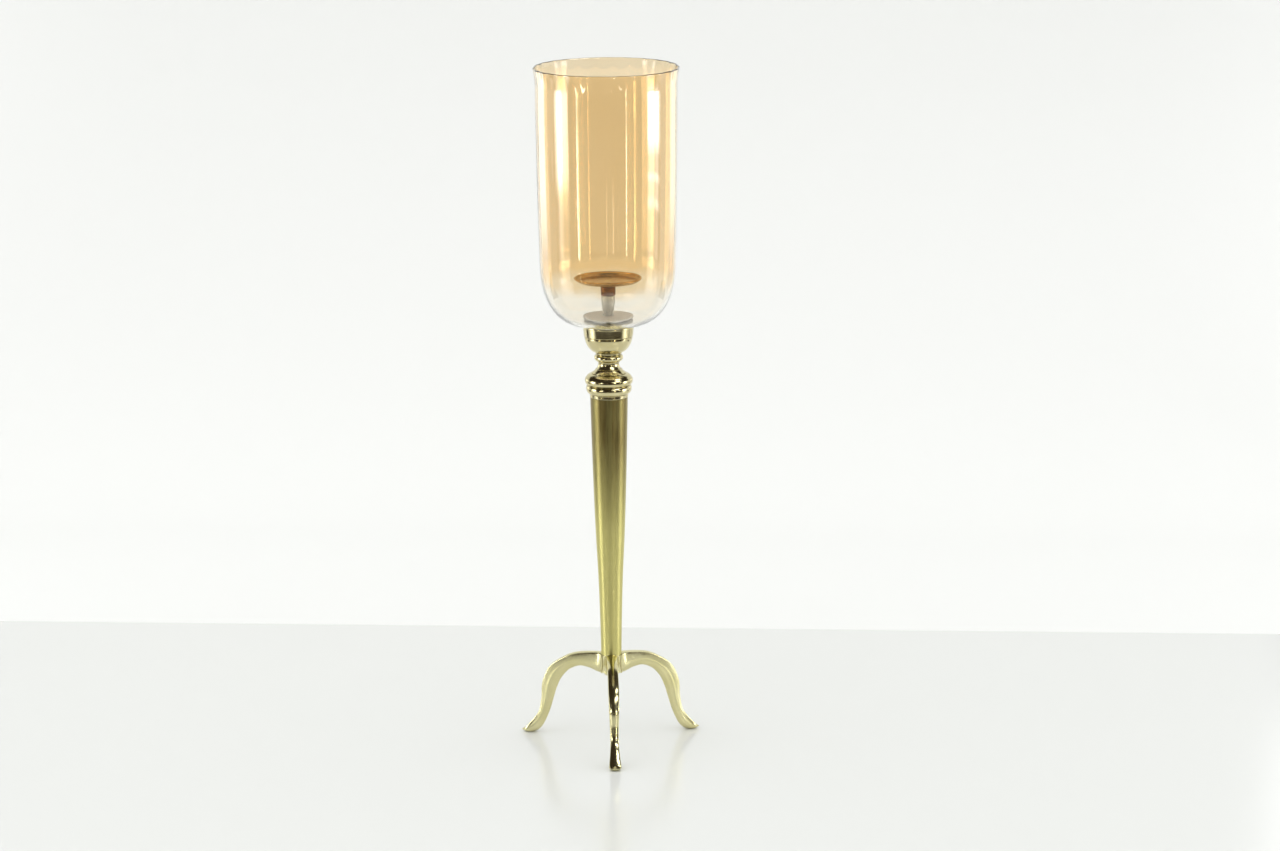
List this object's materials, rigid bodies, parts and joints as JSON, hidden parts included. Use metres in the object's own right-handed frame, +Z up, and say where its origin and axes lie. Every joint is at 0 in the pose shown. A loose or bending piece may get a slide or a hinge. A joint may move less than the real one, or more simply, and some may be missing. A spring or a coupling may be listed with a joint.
{
  "type": "hurricane candle lantern",
  "caption": "Floor-standing brass candle lantern: cabriole tripod, tapered column, turned neck and a tall amber glass shade around a shallow candle pan.",
  "frame": {"origin": "on the floor, under the middle of the lantern's bounding box; the column's axis stands 18.3 mm behind it, at x = 0, y = +0.0183", "axes": "+Z up along the column; the front leg points along -Y; +X to the right seen from the front"},
  "size_m": [0.2234, 0.2145, 0.848],
  "materials": {
    "cast_brass": "cast and satin polished, with bright worn ridges",
    "brushed_brass": "brushed lengthwise and antiqued, darker towards the top",
    "polished_brass": "turned and mirror polished, pale",
    "brown_brass": "polished, with a brown patina",
    "bright_steel": "plain zinc-bright steel",
    "pale_rubber": "pale grey translucent sheet",
    "amber_glass": "clear blown glass with an amber lustre that fades out towards the bottom"
  },
  "bodies": {
    "stand": {"leg_front": "cast_brass", "leg_right": "cast_brass", "leg_left": "cast_brass", "tripod_hub": "cast_brass", "hub_washer": "bright_steel", "hub_nut": "bright_steel", "tie_rod": "bright_steel", "column_tube": "brushed_brass", "collar": "polished_brass", "neck_spool": "polished_brass", "seat_cup": "polished_brass", "cup_washer": "bright_steel", "coupler_nut": "bright_steel", "lower_gasket": "pale_rubber"},
    "shade": {"glass_shade": "amber_glass"},
    "clamp_seal": {"upper_gasket": "pale_rubber", "clamp_washer": "bright_steel"},
    "candle_holder": {"stem_nut": "bright_steel", "stem_stud": "bright_steel", "stem_tube": "bright_steel", "pan_socket": "brown_brass", "candle_pan": "brown_brass", "pan_screw": "polished_brass"}
  },
  "joints": [
    {"name": "glass_lift", "type": "slide", "parent": "stand", "child": "shade", "axis": [0, 0, 1], "range_m": [0, 0.12]},
    {"name": "pan_lift", "type": "slide", "parent": "shade", "child": "clamp_seal", "axis": [0, 0, 1], "range_m": [0, 0.35]},
    {"name": "pan_turn", "type": "hinge", "parent": "clamp_seal", "child": "candle_holder", "pos_m": [0, 0.0183, 0.545], "axis": [0, 0, 1], "continuous": true}
  ]
}
